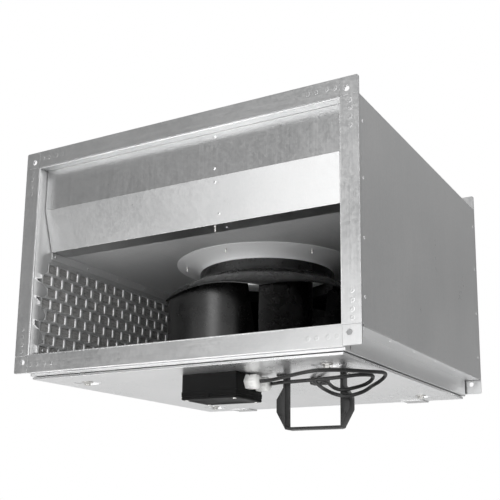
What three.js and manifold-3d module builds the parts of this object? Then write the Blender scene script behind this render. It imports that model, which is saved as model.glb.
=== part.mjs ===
// Sound-insulated duct fan: a flat rectangular casing with a flange at each end, a horizontal deck
// inside with a downward inlet cone, and a centrifugal impeller that stands on a motor. The motor
// is carried by a service door in the floor, and the door swings down on two hinges at its rear.
// Air comes in above the deck at the inlet flange, falls through the cone and leaves below it.
// Millimetres. Origin at the middle of the outlet opening, +X right, +Y towards the inlet, +Z up.
import * as THREE from "three";
import { mergeVertices } from "three/addons/utils/BufferGeometryUtils.js";
import Module from "manifold-3d";

const wasm = await Module();
wasm.setup();

// ---- Driving dimensions ----
const fit = 0.3; // gap between pieces that touch
const ductWidth = 600;
const ductHeight = 350;
const caseLength = 606; // face to face
const sheet = 1; // casing, liners and service frame
const plate = 1.2; // deck, baffles and cone

const flangeFace = 30;
const flangeDepth = 8;
const flangeSheet = 1.2;
const cornerLeg = 40; // length of a corner plate's leg inside the bar
const cornerLegSheet = 2;
const cornerHoleRadius = 4.75;
const cornerHoleInset = 19; // from the outer edges of the flange
const cornerRounding = 3;

const sideThickness = 30; // from the liner to the outer skin
const sideDrop = 2; // how far the side boxes reach below the opening
const trayDepth = 35; // from the opening's lower edge to the underside of the service frame
const traySetback = 10.5; // from the flange faces
const frameOpeningHalfWidth = 209;
const frameOpeningFront = 85;
const frameOpeningRear = 46; // from the inlet flange's face
const drainSlot = { y: 28, width: 3, height: 6, above: 4 };

const deckHeight = 25; // underside of the deck
const deckStart = 42;
const deckSideFlange = 15;
const deckHoleRadius = 148.5;
const baffleSetback = 20;
const baffleBendHeight = 97; // where the outlet baffle starts to slope
const baffleLap = 38; // the part of the baffle that lies under the deck
const baffleTopLip = 20;

const fanY = 323; // impeller centre, from the outlet face
const coneFlangeRadius = 175;
const coneLipRadius = 150;
const coneThroatHeight = 9; // where the throat runs straight down
const ringRadius = 129.2; // outside of the impeller's inlet ring
const ringWall = 2.7;
const ringHeight = 20;
const ringTop = 9;
const coneGap = 5; // between the cone's throat and the ring
const coneOverlap = 2;

const shroudTipRadius = 203;
const shroudDip = 13; // how far the shroud's edge draws in between two blades
const shroudDrop = 47; // from the ring's foot to the blade tips
const shroudWall = 2.5;
const bladeCount = 6;
const bladeTipAngle = -65; // degrees, from +X
const bladeWrap = 56; // degrees, from tip to root
const bladeRootRadius = 102;
const bladeRootSlant = 22; // the root edge leans outwards by this much at the top
const bladeThickness = 3;
const wheelClearance = 24; // from the service frame's underside to the wheel
const wheelPlateThickness = 3;
const hubWall = 3.5;

const rotorRadius = 62;
const rotorWall = 6;
const rotorHeight = 76;
const rotorClearance = 14; // from the service frame's underside to the rotor
const airGap = 1.5;
const shaftRadius = 7.5;
const bearingRadius = 16;
const bearingWidth = 11;
const bearingPlay = 0.3;
const statorFlangeRadius = 58;
const statorFlangeThickness = 8;
const motorPlateSize = 200;
const motorPlateThickness = 3;

const doorSideInset = 4; // from the service frame's walls
const doorFrontInset = 1.5;
const doorRearInset = 3.5;
const doorGap = 5.5; // from the service frame's underside to the door's
const doorDepth = 3.8; // height of the pan's rim
const doorSheet = 1.5;
const doorRim = 1.5;
const gasketWidth = 8;
const gasketInset = 3;
const boltX = 235;
const boltSpan = 430; // front bolts to rear bolts
const boltRadius = 3;
const boltHeadRadius = 5.8;
const boltHeadHeight = 7;
const boltReach = 12; // shank above the underside of the service frame
const boltClearance = 3;
const recessRadius = 24;
const recessDepth = 2;

const hingeX = 200;
const hingeSetback = 4.5; // from the service frame's rear wall to the pin
const hingeHalfWidth = 22;
const knuckleRadius = 4;
const knuckleHalf = 8; // half of the door's middle knuckle
const hingePinRadius = 2;
const hingeSheet = 1.5;
const hingeLeafHeight = 30; // above the service frame's underside
const hingeLeafReach = 35;

const handleX = 184.5;
const handleY = 150;
const handleDepth = 20;
const handleGripHalf = 48.8; // half of the clear width
const handleHalf = 65;
const handleStrap = 4;
const handleDrop = 91.7; // these four are measured down from the door
const handleFlare = { from: 22.7, to: 41.7, low: 62.2 };
const handleFootLength = 13;
const handleFootThickness = 3;

const box = { x0: -26, x1: 80, y0: 78, y1: 163, wall: 2.5, height: 34, rimHeight: 5 };
const lidHeight = 7.7;
const lidWall = 2.5;
const terminalBlock = { x0: -5, x1: 45, y0: 106, y1: 134, height: 12 };
const glandDrop = 13.7; // below the door
const glandLength = 25;
const glandRadius = 12.5;
const glandThreadRadius = 8;
const glandY = [112, 147];
const plugY = 120;
const plugLength = 7;
const plugRadius = 10.5;

const cableRadius = 3;
const grommet = { x0: 140, x1: 172, y0: 216, y1: 240, height: 8 };
const grommetX = [151, 162];
// Middle line of each motor cable between the gland and the grommet, its height taken from the door.
const frontCableRoute = [
  [112, 112, -13.7], [124, 109.5, -13.7], [141, 103, -13.2], [165, 89.5, -12.7],
  [192, 75, -12.2], [213, 66, -11.7], [232, 62.5, -11.2], [248, 67, -11.2],
  [261, 77, -10.7], [273, 91, -10.2], [283, 106, -9.7], [290.5, 124, -8.7],
  [295.5, 145, -6.7], [297, 164, -5.2], [294.5, 179.5, -6.2], [287.5, 188, -10.2],
  [279.5, 187.5, -16], [275, 179, -21.2], [275, 165, -26.2], [276, 151, -31.2],
  [273.5, 138.5, -36.7], [265.5, 130, -41.2], [254, 126, -43.7], [241, 126, -42.7],
  [226, 131, -38.2], [206, 146, -29.7], [188, 167, -21.7], [172, 186, -13.2],
  [160, 198, -7.2],
];
const rearCableRoute = [
  [110.5, 147, -13.8], [118, 142, -14.2], [127, 135.5, -14.7], [138, 131, -15.2],
  [154, 127, -15.7], [187, 120.5, -16.2], [222, 116.5, -16.2], [243, 114, -15.7],
  [258, 114.5, -14.7], [270.5, 120, -13.2], [280, 130, -12], [284.5, 143, -11.2],
  [283, 155, -12.7], [276.5, 161.5, -17.2], [268.5, 160, -22.2], [262, 150, -26.7],
  [255.5, 140, -30.2], [246, 134, -32.7], [235.5, 133.6, -32.2], [225, 139, -28.7],
  [213, 152, -22.7], [200, 170, -15.7], [185, 187, -8.7], [171, 198.5, -5],
];

// ---- Values that follow from them ----
const halfWidth = ductWidth / 2;
const halfHeight = ductHeight / 2;
const flangeHalfWidth = halfWidth + flangeFace;
const flangeHalfHeight = halfHeight + flangeFace;
const liningTop = halfHeight - fit; // outside of the neck, inside the flange bars
const liningSide = halfWidth - fit - sheet; // inside of the side liners
const sideTop = liningTop - sheet - fit;
const sideBottom = -halfHeight - sideDrop;
const skinFront = flangeDepth + fit;
const frameBottom = -halfHeight - trayDepth;
const trayRear = caseLength - traySetback;
const neckEnd = 1; // the sheets stop this far inside the flange faces
const deckTop = deckHeight + plate;
const deckFront = deckStart + 2 * plate; // the deck's edge lies behind the baffle's slope
const deckEnd = caseLength - deckFront;
const throatRadius = ringRadius - ringWall - coneGap; // outside of the cone's throat
const throatFoot = ringTop - coneOverlap;
const ringFoot = ringTop - ringHeight;
const tipHeight = ringFoot - shroudDrop;
const wheelPlateTop = frameBottom + wheelClearance + wheelPlateThickness;
const rotorFoot = frameBottom + rotorClearance;
const rotorTop = rotorFoot + rotorHeight;
const doorHalfWidth = halfWidth - doorSideInset;
const doorFront = traySetback + doorFrontInset;
const doorRear = trayRear - doorRearInset;
const doorBottom = frameBottom - doorGap;
const doorTop = doorBottom + doorSheet;
const hingeY = trayRear + hingeSetback;
const hingeZ = doorTop;
const underDoor = doorBottom - fit;
const handleBottom = underDoor - handleDrop;
const glandZ = underDoor - glandDrop;
const motorPlateTop = doorTop + fit + motorPlateThickness;
const boxBottom = underDoor - box.height;
const radians = Math.PI / 180;

// ---- Helpers ----
function finish(color, roughness, metalness) {
  return { color, roughness, metalness };
}

// Extrudes an outline drawn in the YZ plane along X.
function alongX(outline, x0, x1) {
  const shape = new THREE.Shape(outline.map(([y, z]) => new THREE.Vector2(y, z)));
  const turn = new THREE.Matrix4().makeBasis(
    new THREE.Vector3(0, 1, 0), new THREE.Vector3(0, 0, 1), new THREE.Vector3(1, 0, 0));
  const geometry = new THREE.ExtrudeGeometry(shape, { depth: x1 - x0, bevelEnabled: false });
  return geometry.applyMatrix4(turn).translate(x0, 0, 0);
}

// Extrudes an outline drawn in the XZ plane along Y.
function alongY(outline, y0, y1) {
  const shape = new THREE.Shape(outline.map(([x, z]) => new THREE.Vector2(z, x)));
  const turn = new THREE.Matrix4().makeBasis(
    new THREE.Vector3(0, 0, 1), new THREE.Vector3(1, 0, 0), new THREE.Vector3(0, 1, 0));
  const geometry = new THREE.ExtrudeGeometry(shape, { depth: y1 - y0, bevelEnabled: false });
  return geometry.applyMatrix4(turn).translate(0, y0, 0);
}

// Extrudes an outline drawn in the XY plane along Z.
function alongZ(outline, z0, z1) {
  const shape = new THREE.Shape(outline.map(([x, y]) => new THREE.Vector2(x, y)));
  const geometry = new THREE.ExtrudeGeometry(shape, { depth: z1 - z0, bevelEnabled: false });
  return geometry.translate(0, 0, z0);
}

function block(x0, x1, y0, y1, z0, z1) {
  const geometry = new THREE.BoxGeometry(x1 - x0, y1 - y0, z1 - z0);
  return geometry.translate((x0 + x1) / 2, (y0 + y1) / 2, (z0 + z1) / 2);
}

function rod(axis, radius, from, to, sides) {
  const geometry = new THREE.CylinderGeometry(radius, radius, to - from, sides);
  geometry.translate(0, (from + to) / 2, 0);
  if (axis === "x") geometry.rotateZ(-Math.PI / 2);
  if (axis === "z") geometry.rotateX(Math.PI / 2);
  return geometry;
}

// Turns a closed profile of [radius, height] about the Z axis.
function turned(profile, sides) {
  const points = profile.map(([r, z]) => new THREE.Vector2(r, z));
  const onAxis = profile[0][0] === 0 && profile[profile.length - 1][0] === 0;
  if (!onAxis) points.push(points[0].clone());
  const geometry = new THREE.LatheGeometry(points, sides).rotateX(Math.PI / 2);
  return outward(geometry);
}

function solid(geometry) {
  const bare = geometry.index ? geometry.toNonIndexed() : geometry.clone();
  bare.deleteAttribute("normal");
  bare.deleteAttribute("uv");
  const merged = mergeVertices(bare, 1e-3);
  return new wasm.Manifold(new wasm.Mesh({
    numProp: 3,
    vertProperties: merged.attributes.position.array,
    triVerts: new Uint32Array(merged.index.array),
  }));
}

function surface(made) {
  const mesh = made.getMesh();
  const geometry = new THREE.BufferGeometry();
  const positions = new Float32Array(mesh.numVert * 3);
  for (let i = 0; i < mesh.numVert; i++) {
    positions.set(mesh.vertProperties.subarray(i * mesh.numProp, i * mesh.numProp + 3), i * 3);
  }
  geometry.setAttribute("position", new THREE.BufferAttribute(positions, 3));
  geometry.setIndex(new THREE.BufferAttribute(new Uint32Array(mesh.triVerts), 1));
  return geometry;
}

// A turned profile may run either way round: this makes its faces point out.
function outward(geometry) {
  if (solid(geometry).volume() > 0) return geometry;
  const index = geometry.index.array;
  for (let i = 0; i < index.length; i += 3) {
    [index[i + 1], index[i + 2]] = [index[i + 2], index[i + 1]];
  }
  return geometry;
}

function join(...pieces) {
  return surface(pieces.map(solid).reduce((sum, piece) => sum.add(piece)));
}

function cut(geometry, ...tools) {
  return surface(tools.map(solid).reduce((rest, tool) => rest.subtract(tool), solid(geometry)));
}

function common(geometry, other) {
  return surface(solid(geometry).intersect(solid(other)));
}

const model = new THREE.Group();

function add(name, geometry, look, place = [0, 0, 0]) {
  geometry.computeVertexNormals();
  const mesh = new THREE.Mesh(geometry, new THREE.MeshStandardMaterial(look));
  mesh.name = name;
  mesh.position.set(...place);
  model.add(mesh);
}

// ---- Finishes ----
const zinc = finish(0xa9acae, 0.38, 0.9);
const brightZinc = finish(0xc9cbcc, 0.3, 0.9);
const wool = finish(0x8f8a7c, 0.95, 0);
const blackPlastic = finish(0x17181a, 0.45, 0);
const whitePlastic = finish(0xe9e9e6, 0.5, 0);
const rubber = finish(0x1c1c1c, 0.85, 0);
const steel = finish(0xb8babc, 0.3, 1);
const darkPaint = finish(0x2b2c2e, 0.5, 0.2);
const castMetal = finish(0x9a9c9e, 0.5, 0.9);
const cableJacket = finish(0x2e2f31, 0.6, 0);
const terminalGrey = finish(0xb4b6b4, 0.6, 0);

// ---- Flanges: four folded bars joined by four corner plates at each end ----
// A bar's section: face, outer lip and inner lip. u runs out from the opening, v back from the face.
function barSection() {
  const u1 = flangeFace;
  const t = flangeSheet;
  return [[0, 0], [u1, 0], [u1, flangeDepth], [u1 - t, flangeDepth],
    [u1 - t, t], [t, t], [t, flangeDepth], [0, flangeDepth]];
}

function addFlange(end, faceY, inward) {
  const depth = (v) => faceY + inward * v;
  for (const [side, sign] of [["top", 1], ["bottom", -1]]) {
    const outline = barSection().map(([u, v]) => [depth(v), sign * (halfHeight + u)]);
    const length = halfWidth - fit;
    add(`${end}_bar_${side}`, alongX(outline, -length, length), zinc);
  }
  for (const [side, sign] of [["left", -1], ["right", 1]]) {
    const outline = barSection().map(([u, v]) => [sign * (halfWidth + u), depth(v)]);
    const length = halfHeight - fit;
    add(`${end}_bar_${side}`, alongZ(outline, -length, length), zinc);
  }
  for (const [side, sx] of [["left", -1], ["right", 1]]) {
    for (const [level, sz] of [["top", 1], ["bottom", -1]]) {
      add(`${end}_corner_${level}_${side}`, cornerPlate(sx, sz, faceY, inward), zinc);
    }
  }
}

// A square plate in the flange's face, with two legs that push into the bars behind their faces.
function cornerPlate(sx, sz, faceY, inward) {
  const legStart = flangeSheet + fit;
  const legEnd = legStart + cornerLegSheet;
  const span = (a, b) => [Math.min(a, b), Math.max(a, b)];
  const piece = (x0, x1, v0, v1, z0, z1) => block(
    ...span(sx * x0, sx * x1), ...span(faceY + inward * v0, faceY + inward * v1),
    ...span(sz * z0, sz * z1));
  const legInset = flangeSheet + fit;
  const square = piece(halfWidth, flangeHalfWidth, 0, legEnd, halfHeight, flangeHalfHeight);
  const alongTop = piece(halfWidth - cornerLeg, halfWidth + 1, legStart, legEnd,
    halfHeight + legInset, flangeHalfHeight - legInset);
  const alongSide = piece(halfWidth + legInset, flangeHalfWidth - legInset, legStart, legEnd,
    halfHeight - cornerLeg, halfHeight + 1);
  const hole = rod("y", cornerHoleRadius, -1, flangeDepth, 16);
  hole.translate(sx * (flangeHalfWidth - cornerHoleInset), inward > 0 ? faceY : faceY - flangeDepth + 1,
    sz * (flangeHalfHeight - cornerHoleInset));
  const whole = join(square, alongTop, alongSide);
  const waste = cornerWaste(sx, sz, faceY, inward, legEnd);
  return cut(whole, hole, waste);
}

// What rounding takes off the outer corner of a corner plate.
function cornerWaste(sx, sz, faceY, inward, thickness) {
  const r = cornerRounding;
  const outline = [[0, 0]];
  for (let i = 0; i <= 4; i++) {
    const angle = (i / 4) * (Math.PI / 2);
    outline.push([-r + r * Math.cos(angle), -r + r * Math.sin(angle)]);
  }
  const grown = outline.map(([x, z], i) => (i === 0 ? [1, 1] : [x, z]));
  const closed = [grown[0], [1, -r], ...grown.slice(1), [-r, 1]];
  const placed = closed.map(([x, z]) => [sx * (flangeHalfWidth + x), sz * (flangeHalfHeight + z)]);
  const y = [faceY - inward, faceY + inward * (thickness + 1)].sort((a, b) => a - b);
  return alongY(placed, y[0], y[1]);
}

addFlange("outlet", 0, 1);
addFlange("inlet", caseLength, -1);

// ---- Casing: top panel, side boxes with mineral wool, liners ----
function addTopPanel() {
  const neck = halfWidth - fit;
  const wide = flangeHalfWidth;
  const y0 = neckEnd;
  const y1 = caseLength - neckEnd;
  const outline = [[-neck, y0], [neck, y0], [neck, skinFront], [wide, skinFront],
    [wide, caseLength - skinFront], [neck, caseLength - skinFront], [neck, y1], [-neck, y1],
    [-neck, caseLength - skinFront], [-wide, caseLength - skinFront], [-wide, skinFront],
    [-neck, skinFront]];
  add("top_panel", alongZ(outline, liningTop - sheet, liningTop), zinc);
}

function addSide(side, sign) {
  const inner = halfWidth;
  const outer = halfWidth + sideThickness;
  const rear = caseLength - skinFront;
  const x = (a, b) => [Math.min(sign * a, sign * b), Math.max(sign * a, sign * b)];
  const skin = cut(
    block(...x(inner, outer), skinFront, rear, sideBottom, sideTop),
    block(...x(inner - 1, outer - sheet), skinFront + sheet, rear - sheet,
      sideBottom + sheet, sideTop - sheet));
  add(`side_skin_${side}`, skin, zinc);
  const gap = sheet + fit;
  add(`side_wool_${side}`, block(...x(inner + fit, outer - gap), skinFront + gap, rear - gap,
    sideBottom + gap, sideTop - gap), wool);
  add(`side_liner_${side}`, block(...x(liningSide, liningSide + sheet), neckEnd, caseLength - neckEnd,
    -liningTop, sideTop), zinc);
}

addTopPanel();
addSide("left", -1);
addSide("right", 1);

// ---- Deck, baffles and inlet cone ----
// The deck is a sheet with its sides folded down against the liners, and a round hole.
function addDeck() {
  const half = liningSide - fit;
  const low = deckTop - deckSideFlange;
  const outline = [[-half, deckTop], [-half, low], [-half + plate, low], [-half + plate, deckHeight],
    [half - plate, deckHeight], [half - plate, low], [half, low], [half, deckTop]];
  const hole = rod("z", deckHoleRadius, deckHeight - 1, deckTop + 1, 48).translate(0, fanY, 0);
  add("deck", cut(alongY(outline, deckFront, deckEnd), hole), zinc);
}

// A folded strip: lip, upright, slope, and a foot that laps the deck. Its outline is the middle
// line's two sides, drawn for the outlet end.
function baffleOutline(topZ, bendZ, footZ) {
  const t = plate;
  const y0 = baffleSetback;
  const y1 = deckStart;
  const foot = y1 + baffleLap;
  return [[y0, topZ], [y0, bendZ], [y1, footZ - t], [foot, footZ - t], [foot, footZ],
    [y1 + t, footZ], [y0 + t, bendZ], [y0 + t, topZ - t], [y0 + baffleTopLip, topZ - t],
    [y0 + baffleTopLip, topZ]];
}

function addBaffles() {
  const half = liningSide - 2 * fit - plate;
  const top = sideTop;
  const outlet = baffleOutline(top, baffleBendHeight, deckHeight - fit);
  add("outlet_baffle", alongX(outlet, -half, half), zinc);
  // The same strip turned upside down closes the inlet end below the deck.
  const floor = -halfHeight + fit + sheet + fit;
  const slopeHeight = baffleBendHeight - deckHeight;
  const mirrored = baffleOutline(-floor, -(deckHeight - slopeHeight), -(deckTop + fit));
  const inlet = mirrored.map(([y, z]) => [caseLength - y, -z]);
  const inletHalf = liningSide - fit;
  add("inlet_baffle", alongX(inlet, -inletHalf, inletHalf), zinc);
}

// A bellmouth: a flat flange on the deck, a quarter ellipse down to a short straight throat.
function addCone() {
  const flangeZ = deckTop + fit;
  const across = coneLipRadius - throatRadius;
  const steps = 7;
  const outside = [];
  const inside = [];
  for (let i = 0; i <= steps; i++) {
    const angle = (i / steps) * (Math.PI / 2);
    const c = Math.cos(angle);
    const s = Math.sin(angle);
    outside.push([coneLipRadius - across * c, coneThroatHeight + (flangeZ - coneThroatHeight) * s]);
    inside.push([coneLipRadius - (across + plate) * c,
      coneThroatHeight + (flangeZ + plate - coneThroatHeight) * s]);
  }
  const profile = [[throatRadius, throatFoot], ...outside, [coneFlangeRadius, flangeZ],
    [coneFlangeRadius, flangeZ + plate], ...inside.reverse(), [throatRadius - plate, throatFoot]];
  add("inlet_cone", turned(profile, 40), brightZinc, [0, fanY, 0]);
}

addDeck();
addBaffles();
addCone();

// ---- Service frame: the deep tray under the casing that the door closes ----
function addServiceFrame() {
  const outer = halfWidth;
  const inner = outer - sheet;
  const wallTop = sideBottom - fit;
  const lip = outer + sideThickness - sheet;
  const neck = liningSide - fit;
  const lipTop = -halfHeight + fit + sheet;
  const shell = cut(
    block(-outer, outer, traySetback, trayRear, frameBottom, wallTop),
    block(-inner, inner, traySetback + sheet, trayRear - sheet, frameBottom + sheet, wallTop + 1));
  const parts = [shell];
  for (const sign of [-1, 1]) {
    const x = [sign * inner, sign * lip].sort((a, b) => a - b);
    parts.push(block(x[0], x[1], traySetback, trayRear, wallTop - sheet, wallTop));
  }
  // The end walls rise into the necks and fold outwards there.
  for (const [wall, end] of [[traySetback, neckEnd], [trayRear, caseLength - neckEnd]]) {
    const inward = wall < end ? -1 : 1;
    const y = [wall, wall + inward * sheet].sort((a, b) => a - b);
    parts.push(block(-neck, neck, y[0], y[1], wallTop - sheet, lipTop));
    const foldY = [end, wall + inward * sheet].sort((a, b) => a - b);
    parts.push(block(-neck, neck, foldY[0], foldY[1], lipTop - sheet, lipTop));
  }
  const tools = [block(-frameOpeningHalfWidth, frameOpeningHalfWidth, frameOpeningFront,
    caseLength - frameOpeningRear, frameBottom - 1, frameBottom + sheet + 1)];
  for (const [x, y] of boltPlaces()) {
    tools.push(rod("z", boltRadius + boltClearance, frameBottom - 1, frameBottom + sheet + 1, 20)
      .translate(x, y, 0));
  }
  const slotZ = frameBottom + drainSlot.above;
  tools.push(block(inner - 1, outer + 1, drainSlot.y, drainSlot.y + drainSlot.width,
    slotZ, slotZ + drainSlot.height));
  add("service_frame", cut(join(...parts), ...tools), zinc);
}

function boltPlaces() {
  const places = [];
  const middle = (doorFront + doorRear) / 2;
  for (const y of [middle - boltSpan / 2, middle + boltSpan / 2]) {
    for (const x of [-boltX, boltX]) places.push([x, y]);
  }
  return places;
}

addServiceFrame();

// ---- Door: a shallow pan with round recesses for its bolts, and a seal ----
function addDoor() {
  const rimTop = doorBottom + doorDepth;
  let pan = cut(
    block(-doorHalfWidth, doorHalfWidth, doorFront, doorRear, doorBottom, rimTop),
    block(-doorHalfWidth + doorRim, doorHalfWidth - doorRim, doorFront + doorRim,
      doorRear - doorRim, doorTop, rimTop + 1));
  for (const [x, y] of boltPlaces()) {
    const boss = rod("z", recessRadius + doorSheet, doorTop - 0.5, doorTop + recessDepth, 24);
    pan = join(pan, boss.translate(x, y, 0));
  }
  const tools = [];
  for (const [x, y] of boltPlaces()) {
    tools.push(rod("z", recessRadius, doorBottom - 1, doorBottom + recessDepth, 24)
      .translate(x, y, 0));
    tools.push(rod("z", boltRadius + fit, doorBottom, doorTop + recessDepth + 1, 16)
      .translate(x, y, 0));
  }
  add("door_panel", cut(pan, ...tools), brightZinc);
  const x = doorHalfWidth - doorRim - gasketInset;
  const y0 = doorFront + doorRim + gasketInset;
  const y1 = doorRear - doorRim - gasketInset;
  add("door_gasket", cut(
    block(-x, x, y0, y1, doorTop + fit, frameBottom - fit),
    block(-x + gasketWidth, x - gasketWidth, y0 + gasketWidth, y1 - gasketWidth,
      doorTop, frameBottom)), rubber);
}

// A hexagon head in the recess, and a shank that reaches through the frame's clearance hole.
function addBolts() {
  const seat = doorBottom + recessDepth - fit;
  boltPlaces().forEach(([x, y], i) => {
    const head = rod("z", boltHeadRadius, seat - boltHeadHeight, seat, 6);
    const shank = rod("z", boltRadius, seat - 1, frameBottom + boltReach, 12);
    add(`door_bolt_${i + 1}`, join(head, shank), steel, [x, y, 0]);
  });
}

// Each hinge: a leaf on the rear wall with two knuckles, a leaf under the door with one, a pin.
function addHinges() {
  const bore = hingePinRadius + fit;
  const side = (x0, x1) => cut(rod("x", knuckleRadius, x0, x1, 20), rod("x", bore, x0 - 1, x1 + 1, 14));
  for (const [name, x] of [["left", -hingeX], ["right", hingeX]]) {
    const gapped = knuckleHalf + fit;
    const place = [x, hingeY, hingeZ];
    const wallY = trayRear + fit - hingeY;
    const leaf = block(-hingeHalfWidth, hingeHalfWidth, wallY, wallY + hingeSheet,
      knuckleRadius + 1, frameBottom + hingeLeafHeight - hingeZ);
    const webs = [];
    for (const [x0, x1] of [[-hingeHalfWidth, -gapped], [gapped, hingeHalfWidth]]) {
      webs.push(side(x0, x1));
      webs.push(block(x0, x1, wallY, wallY + hingeSheet, bore, knuckleRadius + 2));
    }
    add(`hinge_case_${name}`, join(leaf, ...webs), steel, place);
    const leafTop = underDoor - hingeZ;
    const doorLeaf = block(-hingeHalfWidth, hingeHalfWidth, -hingeLeafReach, -knuckleRadius - 1.5,
      leafTop - hingeSheet, leafTop);
    const tongue = block(-knuckleHalf, knuckleHalf, -knuckleRadius - 2, -bore + 0.6,
      leafTop - hingeSheet, leafTop);
    const knuckle = side(-knuckleHalf, knuckleHalf);
    const bored = cut(join(doorLeaf, tongue, knuckle), rod("x", bore, -knuckleHalf, knuckleHalf, 14));
    add(`hinge_door_${name}`, bored, steel, place);
    const pin = rod("x", hingePinRadius, -hingeHalfWidth - 1.5, hingeHalfWidth + 1.5, 14);
    add(`hinge_pin_${name}`, pin, steel, place);
  }
}

// A bent strap with flared legs and outward feet.
function addHandle() {
  const inner = handleGripHalf;
  const strap = inner + handleStrap;
  const footTop = underDoor;
  const footLow = footTop - handleFootThickness;
  const bar = handleBottom + handleStrap + 0.5;
  const half = [[inner, footTop], [strap + handleFootLength, footTop],
    [strap + handleFootLength, footLow], [strap, footLow], [strap, footTop - handleFlare.from],
    [handleHalf, footTop - handleFlare.to], [handleHalf, footTop - handleFlare.low],
    [inner, handleBottom + 1],
    [inner - 4, handleBottom]];
  const left = half.map(([x, z]) => [-x, z]).reverse();
  const outline = [...half, ...left, [-inner, bar], [inner, bar]];
  add("pull_handle", alongY(outline, -handleDepth / 2, handleDepth / 2), darkPaint,
    [handleX, handleY, 0]);
}

addDoor();
addBolts();
addHinges();
addHandle();

// ---- Motor: external rotor on a fixed stator, standing on the door ----
function addMotor() {
  const place = [0, fanY, 0];
  const half = motorPlateSize / 2;
  add("motor_plate", block(-half, half, -half, half, doorTop + fit, motorPlateTop), zinc, place);
  const flangeTop = motorPlateTop + fit + statorFlangeThickness;
  const coreRadius = rotorRadius - rotorWall - airGap;
  const coreTop = rotorTop - rotorWall - 3 * airGap;
  const seat = bearingRadius + fit;
  const shoulder = shaftRadius + 3;
  const foot = motorPlateTop + fit;
  const lowSeatTop = foot + 3 + bearingWidth + fit;
  const highSeat = coreTop - bearingWidth - fit;
  const stator = [[statorFlangeRadius, foot], [statorFlangeRadius, flangeTop],
    [coreRadius, flangeTop], [coreRadius, coreTop], [seat, coreTop], [seat, highSeat],
    [shoulder, highSeat], [shoulder, lowSeatTop], [seat, lowSeatTop], [seat, foot]];
  add("motor_stator", turned(stator, 40), castMetal, place);
  const ring = (z) => turned([[shaftRadius + bearingPlay, z], [bearingRadius, z],
    [bearingRadius, z + bearingWidth], [shaftRadius + bearingPlay, z + bearingWidth]], 24);
  add("lower_bearing", ring(lowSeatTop - fit - bearingWidth), steel, place);
  add("upper_bearing", ring(highSeat + fit), steel, place);
  const rotor = [[shaftRadius + fit, rotorTop], [rotorRadius, rotorTop], [rotorRadius, rotorFoot],
    [rotorRadius - rotorWall, rotorFoot], [rotorRadius - rotorWall, rotorTop - rotorWall],
    [shaftRadius + fit, rotorTop - rotorWall]];
  add("rotor_can", turned(rotor, 40), castMetal, place);
  add("motor_shaft", rod("z", shaftRadius, foot + 1.5, rotorTop + 4, 20), steel, place);
}

addMotor();

// ---- Impeller: wheel with backward-curved blades, and the shroud with its inlet ring ----
// The shroud's upper face, from the ring's foot to the blade tips: it steepens towards the edge.
function shroudLine(steps) {
  const points = [];
  for (let i = 0; i <= steps; i++) {
    const s = i / steps;
    const radius = ringRadius + (shroudTipRadius - ringRadius) * s;
    const drop = shroudDrop * (0.62 * s + 0.38 * s * s * s);
    points.push([radius, ringFoot - drop]);
  }
  return points;
}

// The wheel's outline between blade tips draws in and comes out to a point at each tip.
function scallop(radius, dip) {
  const outline = [];
  const steps = 10;
  for (let blade = 0; blade < bladeCount; blade++) {
    for (let i = 0; i < steps; i++) {
      const angle = (bladeTipAngle + (360 / bladeCount) * (blade + i / steps)) * radians;
      const r = radius - dip * Math.sin((Math.PI * i) / steps);
      outline.push([r * Math.cos(angle), r * Math.sin(angle)]);
    }
  }
  return outline;
}

function addShroud() {
  const top = shroudLine(6);
  const under = top.map(([r, z]) => [r, z - shroudWall]);
  const ringInner = ringRadius - ringWall;
  const profile = [[ringInner, ringTop], [ringRadius, ringTop], ...top, ...under.reverse(),
    [ringInner, ringFoot - shroudWall]];
  const body = turned(profile, 48);
  const trim = alongZ(scallop(shroudTipRadius, shroudDip), tipHeight - 20, ringTop + 1);
  add("impeller_shroud", common(body, trim), blackPlastic, [0, fanY, 0]);
}

// One blade's plan: a strip that spirals in from the tip to the root.
function bladePlan(tipAngle) {
  const steps = 12;
  const outside = [];
  const inside = [];
  const tip = shroudTipRadius - 3;
  for (let i = 0; i <= steps; i++) {
    const s = i / steps;
    const angle = (tipAngle + bladeWrap * s) * radians;
    const radius = tip - (tip - bladeRootRadius) * (0.7 * s + 0.3 * s * s);
    outside.push([radius * Math.cos(angle), radius * Math.sin(angle)]);
    const inner = radius - bladeThickness;
    inside.push([inner * Math.cos(angle), inner * Math.sin(angle)]);
  }
  return [...outside, ...inside.reverse()];
}

// The space that blades may fill: under the shroud, outside the slanted root line.
function bladeSpace(floor) {
  const ceiling = shroudLine(6).map(([r, z]) => [r, z - shroudWall - fit]);
  const ringEdge = [ringRadius - ringWall, ringFoot - shroudWall - fit];
  return turned([[bladeRootRadius, floor], [shroudTipRadius, floor], ...ceiling.reverse(), ringEdge,
    [bladeRootRadius + bladeRootSlant, ringFoot - shroudWall - fit]], 48);
}

function addWheel() {
  const floor = wheelPlateTop - wheelPlateThickness;
  const collar = rotorRadius + fit;
  const capZ = rotorTop + fit;
  const cap = shaftRadius + 12;
  const hub = turned([[collar, floor], [shroudTipRadius, floor], [shroudTipRadius, wheelPlateTop],
    [collar + hubWall, wheelPlateTop], [collar + hubWall, capZ + hubWall], [cap, capZ + hubWall],
    [cap, capZ], [collar, capZ]], 48);
  const trim = alongZ(scallop(shroudTipRadius, shroudDip), floor - 1, 0);
  const space = solid(bladeSpace(wheelPlateTop - 1));
  let wheel = solid(common(hub, trim));
  for (let blade = 0; blade < bladeCount; blade++) {
    const tipAngle = bladeTipAngle + (360 / bladeCount) * blade;
    const strip = alongZ(bladePlan(tipAngle), wheelPlateTop - 1, ringFoot);
    wheel = wheel.add(solid(strip).intersect(space));
  }
  add("impeller_wheel", surface(wheel), blackPlastic, [0, fanY, 0]);
}

addShroud();
addWheel();

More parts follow.
